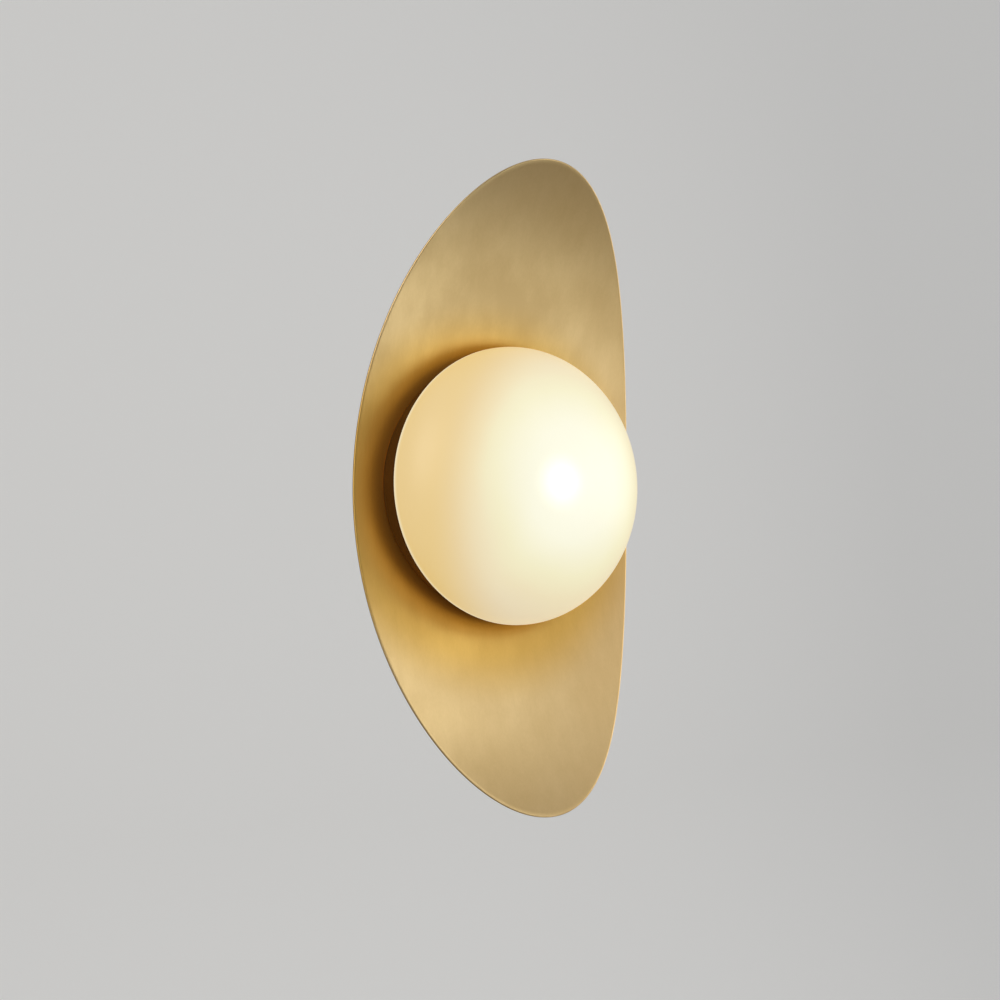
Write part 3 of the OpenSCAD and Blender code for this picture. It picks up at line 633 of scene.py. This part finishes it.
# Terminal block. A moulded body with a brass tube and two screws in each pole, on the
# inside of the canopy's front.
dress(moulded("block_plastic", (0.82, 0.82, 0.79), roughness=0.4, mottle=0.06), "terminal_block")
dress(contact_brass, "terminal_tubes")
dress(screw_steel, "terminal_screws", "block_screw")
dress(plated_steel, "block_nut")

# Earth point. A screw through the canopy with a crimped ring terminal, a washer and a nut.
# It joins the earth wire to the metal of the lamp.
dress(contact_brass, "earth_lug")
dress(screw_steel, "earth_screw")
dress(plated_steel, "earth_washer", "earth_nut")


# Wires. Stranded copper in soft brown, blue and green insulation. Two come down from the
# lampholder to the terminal block, and one runs from there to the earth point.
def sleeved_wire(start, start_pull, end_pull, end, radius=0.0012, rings=60, sides=16):
    """A round tube along a cubic curve: its middle is the sum of the two ends and the two pulled
    points, each times its share of the way along, and its rings stand square to the curve's
    direction. A row of radius nought closes each end."""
    way = np.concatenate([[0], np.linspace(0, 1, rings), [1]])[:, None]
    back = 1 - way
    first, last = np.array(start), np.array(end)
    near, far = first + start_pull, last + end_pull
    middle = (
        back ** 3 * first + 3 * way * back ** 2 * near
        + 3 * way ** 2 * back * far + way ** 3 * last
    )
    heading = (
        back ** 2 * (near - first) + 2 * way * back * (far - near) + way ** 2 * (last - far)
    )
    heading /= np.linalg.norm(heading, axis=1, keepdims=True)
    across = np.cross(heading, (0, 1, 0))
    across /= np.linalg.norm(across, axis=1, keepdims=True)
    other = np.cross(heading, across)
    reach = np.concatenate([[0], np.full(rings, radius), [0]])[:, None, None]
    angle = np.linspace(0, 2 * math.pi, sides, endpoint=False)[:, None]
    spoke = np.cos(angle) * across[:, None] + np.sin(angle) * other[:, None]
    return middle[:, None] + reach * spoke


hole_side, hole_out, hole_height = 0.0045, 0.01851, -0.00115
pole_out, pole_height = 0.0148, -0.031
live_pole, neutral_pole, earth_pole = -0.014, -0.004, 0.006
lug_mouth = (0.027, -0.019, -0.0265)
half_drop = (hole_height - pole_height) / 2
down, up = (0, 0, -half_drop), (0, 0, half_drop)
brown_run = sleeved_wire(
    (-hole_side, -hole_out, hole_height), down, up, (live_pole, -pole_out, pole_height),
)
blue_run = sleeved_wire(
    (hole_side, -hole_out, hole_height), down, up, (neutral_pole, -pole_out, pole_height),
)
green_run = sleeved_wire(
    (earth_pole, -pole_out, pole_height), (0, 0, 0.008), (0, 0, 0.004), lug_mouth,
)
for name, replaced, colour, run in (
    ("brown_wire", "live_wire", (0.2, 0.09, 0.04), brown_run),
    ("blue_wire", "neutral_wire", (0.06, 0.2, 0.55), blue_run),
    ("green_wire", "earth_wire", (0.38, 0.52, 0.06), green_run),
):
    wire = surface(f"{name}_sleeve", run, close_v=True, flip=True)
    wire.data.materials.append(moulded(name, colour, roughness=0.45))
    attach(wire, "lamp_body")
    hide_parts(replaced)


# Bulb. A capsule bulb with a white moulded base, two looped steel pins, a board with rows
# of light-emitting chips and a frosted cover, which is lit.
def lit_chips(name):
    """Yellow phosphor that a fine noise mottles, and that glows in its own colour."""
    material, tree, shader = new_material(name)
    place = node(tree, "TexCoord").outputs["Object"]
    phosphor = node(tree, "TexNoise", {"Vector": place, "Scale": 900.0, "Detail": 2.0})
    tone = node(tree, "ValToRGB", {"Fac": phosphor.outputs["Fac"]})
    set_stops(tone, [(0.0, (0.95, 0.7, 0.2)), (1.0, (1, 0.9, 0.5))])
    tree.links.new(tone.outputs["Color"], shader.inputs["Base Color"])
    tree.links.new(tone.outputs["Color"], shader.inputs["Emission Color"])
    shader.inputs["Emission Strength"].default_value = 2.0
    return material


def lit_frost(name):
    """Frosted plastic with a fine noise in its gloss. Its glow drifts between gold and cream on
    one slow wave along the bulb."""
    material, tree, shader = new_material(name)
    place = node(tree, "TexCoord").outputs["Object"]
    frost = node(tree, "TexNoise", {"Vector": place, "Scale": 1500.0, "Detail": 3.0})
    rough = node(tree, "MapRange", {"Value": frost.outputs["Fac"], "To Min": 0.35, "To Max": 0.55})
    wave = node(tree, "TexWave", {"Vector": place, "Scale": 7.5, "Distortion": 0.0},
                wave_type="BANDS", bands_direction="Y", wave_profile="SIN")
    glow = node(tree, "ValToRGB", {"Fac": wave.outputs["Fac"]})
    set_stops(glow, [(0.0, (0.95, 0.78, 0.48)), (1.0, (1, 0.92, 0.72))])
    tree.links.new(rough.outputs["Result"], shader.inputs["Roughness"])
    tree.links.new(glow.outputs["Color"], shader.inputs["Emission Color"])
    tree.links.new(glow.outputs["Color"], shader.inputs["Base Color"])
    shader.inputs["Emission Strength"].default_value = 0.9
    shader.inputs["Transmission Weight"].default_value = 0.35
    return material


def cover_shell(turns=96, cap_steps=16, wall=0.0008):
    """A tube with a round end, spun about the lamp's axis: up the outside, over a quarter circle
    to the tip, and back down the inside, one wall deeper."""
    low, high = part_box("bulb_cover")
    outer = high.x
    inner = outer - wall
    back, front = -high.y, -low.y
    shoulder = front - outer
    lean = np.linspace(0, math.pi / 2, cap_steps)
    foot = np.array([back, (back + shoulder) / 2])
    radius = np.concatenate([
        [outer, outer], outer * np.cos(lean), inner * np.cos(lean[::-1]), [inner, inner],
    ])
    out = np.concatenate([
        foot, shoulder + outer * np.sin(lean), shoulder + inner * np.sin(lean[::-1]), foot[::-1],
    ])
    angle = np.linspace(0, 2 * math.pi, turns, endpoint=False)
    return spun(radius[:, None], out[:, None], angle)


dress(moulded("bulb_plastic", (0.9, 0.9, 0.87), roughness=0.35, mottle=0.06), "bulb_base")
dress(plated_steel, "bulb_pins")
dress(lit_chips("led_core"), "bulb_led_core")
cover = surface("frosted_cover", cover_shell(), close_u=True, close_v=True, flip=True)
cover.data.materials.append(lit_frost("bulb_cover"))
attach(cover, "bulb")
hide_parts("bulb_cover")

# Glass dome. Mouth-blown opal glass, half of a flattened ball, whose rim is ground flat,
# rounded over and carried on as a short neck. The bulb behind it makes its middle glow most.
dome_low, dome_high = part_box("glass_dome")
dome_radius = dome_high.x
dome_top = -dome_low.y
neck_end = -dome_high.y
cushion_gap = 0.0003
rim_out = -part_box("rim_cushion")[0].y + cushion_gap
glass = 0.003
neck_radius = 0.0685
rim_round = 0.001


def dome_shell(turns=256, steps=72, corner_steps=8, foot=0.0005):
    """A closed profile of (radius, distance from the wall), spun. It runs from the neck along the
    flat rim, round its small outer corner, up a quarter of an ellipse to the top, and back
    inside along a second quarter that lies one thickness of glass deeper."""
    height = dome_top - rim_out
    neck_inner = neck_radius - glass
    start = math.asin(rim_round / height)
    outer = np.linspace(start, math.pi / 2, steps)
    inner = np.linspace(math.pi / 2, math.asin(glass / (height - glass)), steps)
    turn = np.linspace(-math.pi / 2, 0, corner_steps, endpoint=False)
    radius = np.concatenate([
        [neck_radius - foot, neck_radius, neck_radius],
        dome_radius * math.cos(start) - rim_round * (1 - np.cos(turn)),
        dome_radius * np.cos(outer),
        (dome_radius - glass) * np.cos(inner),
        [neck_inner, neck_inner, neck_inner + foot],
    ])
    out = np.concatenate([
        [neck_end, neck_end + foot, rim_out],
        rim_out + rim_round * (1 + np.sin(turn)),
        rim_out + height * np.sin(outer),
        rim_out + (height - glass) * np.sin(inner),
        [rim_out + glass, neck_end + foot, neck_end],
    ])
    angle = np.linspace(0, 2 * math.pi, turns, endpoint=False)
    return spun(radius[:, None], out[:, None], angle)


def lit_opal(name):
    """Opal glass with a bulb behind it. The glow depends on the distance from a point just right
    of the dome's top, bent by a slow noise where the blown wall is thicker: white over the bulb,
    through cream to pale gold. That point lies right of the top and amber lies round the left and
    upper side: painted light and shade, as from a lamp on the right. The edge of the ground rim is
    paler, where the wall pipes light. A small hot spot lies at the top itself. The rim's flat back
    and the neck glow only a dim gold: painted shade."""
    rim_edge = 0.004
    back_start, back_full = 0.0006, 0.0001
    material, tree, shader = new_material(name)
    place = node(tree, "TexCoord").outputs["Object"]
    height = node(tree, "SeparateXYZ", {"Vector": place}).outputs["Y"]

    # Painted light: the glow's centre sits right of the dome's top, so its right side is brighter.
    from_top = node(tree, "Mapping", {"Vector": place, "Location": (-0.0138, dome_top, 0),
                                      "Scale": (1.2, 1, 1.1)}).outputs["Vector"]
    away = node(tree, "VectorMath", {0: from_top}, operation="LENGTH")
    uneven = node(tree, "TexNoise", {"Vector": place, "Scale": 24.0, "Detail": 2.0,
                                     "Roughness": 0.45})
    bent = node(tree, "Math", {0: uneven.outputs["Fac"], 1: 0.014, 2: away.outputs["Value"]},
                operation="MULTIPLY_ADD")
    share = node(tree, "MapRange", {"Value": bent.outputs[0], "From Min": 0.007,
                                    "From Max": 0.109})
    glow = node(tree, "ValToRGB", {"Fac": share.outputs["Result"]})
    set_stops(glow, [
        (0.0, (0.85, 0.84, 0.7)), (0.32, (0.8, 0.78, 0.6)), (0.55, (0.75, 0.7, 0.44)),
        (0.68, (0.72, 0.62, 0.38)), (0.82, (0.68, 0.57, 0.37)), (1.0, (0.67, 0.56, 0.38)),
    ])

    # Painted shade: amber round the dome's left and upper side, away from a point right of and
    # below the axis.
    turned = node(tree, "Mapping", {"Vector": place, "Location": (-0.02, 0, 0.0075),
                                    "Scale": (1, 0, 0.85)}).outputs["Vector"]
    across = node(tree, "VectorMath", {0: turned}, operation="LENGTH").outputs["Value"]
    shaded = node(tree, "MapRange", {"Value": across, "From Min": 0.058, "From Max": 0.085},
                  interpolation_type="SMOOTHSTEP")
    painted_side_shade = node(tree, "MixRGB", {"Fac": shaded.outputs["Result"],
                                  "Color1": glow.outputs["Color"],
                                  "Color2": (0.97, 0.79, 0.34, 1)}, blend_type="MULTIPLY")

    rim = node(tree, "MapRange", {"Value": height, "From Min": -rim_out - rim_edge,
                                  "From Max": -rim_out, "To Min": 0.0, "To Max": 0.7},
               interpolation_type="SMOOTHSTEP")
    edged = node(tree, "MixRGB", {"Fac": rim.outputs["Result"], "Color1": painted_side_shade.outputs["Color"],
                                  "Color2": (0.82, 0.765, 0.58, 1)})

    near = node(tree, "VectorMath", {0: place, 1: (0.001, -dome_top, 0)}, operation="DISTANCE")
    spot = node(tree, "MapRange", {"Value": near.outputs["Value"], "From Min": 0.0,
                                   "From Max": 0.019, "To Min": 0.3, "To Max": 0.0},
                interpolation_type="SMOOTHERSTEP")
    lit = node(tree, "MixRGB", {"Fac": 1.0, "Color1": edged.outputs["Color"],
                                "Color2": spot.outputs["Result"]}, blend_type="ADD")

    # Painted shade: the rim's flat back and the neck glow only a dim gold, as in the drum's shade.
    painted_rim_shade = node(tree, "MapRange", {"Value": height, "From Min": -rim_out - back_start,
                                    "From Max": -rim_out - back_full},
                 interpolation_type="SMOOTHSTEP")
    painted_shade_glow = node(tree, "MixRGB", {"Fac": painted_rim_shade.outputs["Result"], "Color1": lit.outputs["Color"],
                                  "Color2": (0.56, 0.43, 0.16, 1)}, blend_type="MULTIPLY")

    grain = node(tree, "TexNoise", {"Vector": place, "Scale": 700.0, "Detail": 2.0})
    rough = node(tree, "MapRange", {"Value": grain.outputs["Fac"], "To Min": 0.36, "To Max": 0.46})
    tree.links.new(painted_shade_glow.outputs["Color"], shader.inputs["Emission Color"])
    tree.links.new(rough.outputs["Result"], shader.inputs["Roughness"])
    shader.inputs["Emission Strength"].default_value = 1
    shader.inputs["Base Color"].default_value = (0.32, 0.31, 0.29, 1)
    return material


dome = surface("opal_dome", dome_shell(), close_u=True, close_v=True, flip=True)
dome.data.materials.append(lit_opal("opal_glass"))
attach(dome, "glass_dome")
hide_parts("glass_dome")
